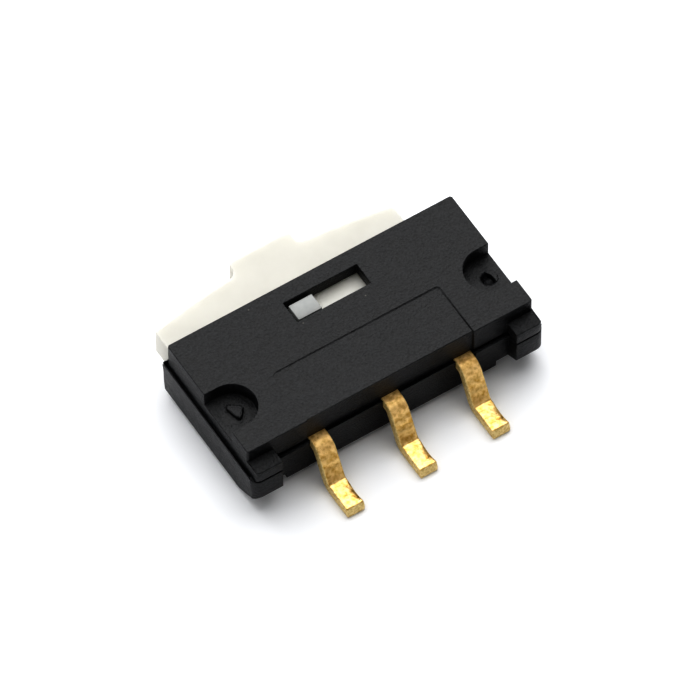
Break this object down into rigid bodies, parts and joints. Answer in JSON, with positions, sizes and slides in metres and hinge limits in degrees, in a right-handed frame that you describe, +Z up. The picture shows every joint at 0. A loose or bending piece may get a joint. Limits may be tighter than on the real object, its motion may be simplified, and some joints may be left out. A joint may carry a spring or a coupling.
{
  "type": "slide switch",
  "caption": "Low black surface-mount slide switch with a white side knob, a position window in its top and gold gull-wing terminals.",
  "frame": {"origin": "middle of the case's outline, on the board plane that the seat and the terminals' feet stand on", "axes": "+X along the slider's travel from its left stop to its right stop, +Y out of the knob's side, +Z up from the board"},
  "size_m": [0.01, 0.0083, 0.0025],
  "materials": {
    "black_plastic": "matt black moulded plastic",
    "ivory_plastic": "smooth ivory white moulded plastic",
    "gold_plate": "gold flash over copper alloy strip"
  },
  "bodies": {
    "case": {"cover": "black_plastic", "base": "black_plastic", "terminal_left": "gold_plate", "terminal_common": "gold_plate", "terminal_right": "gold_plate"},
    "slider": {"slider": "ivory_plastic", "moving_contact": "gold_plate"}
  },
  "joints": [
    {"name": "slider_travel", "type": "slide", "parent": "case", "child": "slider", "axis": [1, 0, 0], "range_m": [0, 0.0015]}
  ]
}
